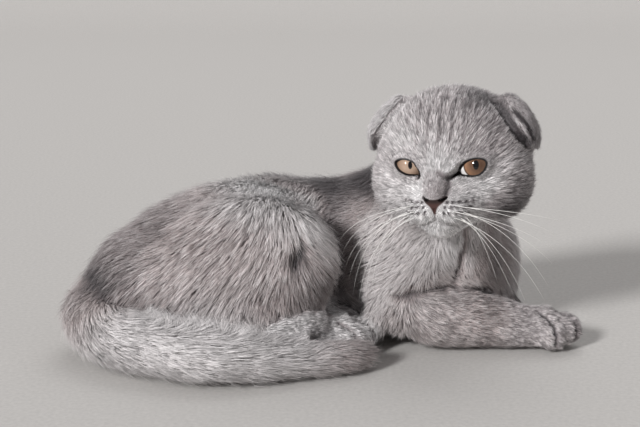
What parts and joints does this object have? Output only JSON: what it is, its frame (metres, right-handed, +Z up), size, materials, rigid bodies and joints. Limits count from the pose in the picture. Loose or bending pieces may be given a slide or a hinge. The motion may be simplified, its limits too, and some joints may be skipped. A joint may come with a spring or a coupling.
{
  "type": "scottish fold cat",
  "caption": "Life-size still model of a young fold-eared cat lying with its head raised, one foreleg stretched out and the tail wrapped round, resting on small flats.",
  "frame": {"origin": "on the floor, under the middle of the bounding box", "axes": "+X along the body from the rump to the stretched right forepaw, +Y towards the cat's left side, +Z up"},
  "size_m": [0.301, 0.1636, 0.1538],
  "materials": {
    "coat": "short dense plush fur, blue-grey with silver tips",
    "eye": "wet, glossy, amber to copper iris with a narrow upright pupil"
  },
  "bodies": {
    "root": {"head": "coat", "ear_right": "coat", "ear_left": "coat", "eye_right": "eye", "eye_left": "eye", "neck": "coat", "chest": "coat", "belly": "coat", "rump": "coat", "tail_root": "coat", "tail_bend": "coat", "tail_middle": "coat", "tail_tip": "coat", "upper_arm_right": "coat", "forearm_right": "coat", "paw_right": "coat", "upper_arm_left": "coat", "forearm_left": "coat", "thigh_right": "coat", "hind_foot_right": "coat", "thigh_left": "coat", "hind_foot_left": "coat"}
  },
  "joints": []
}
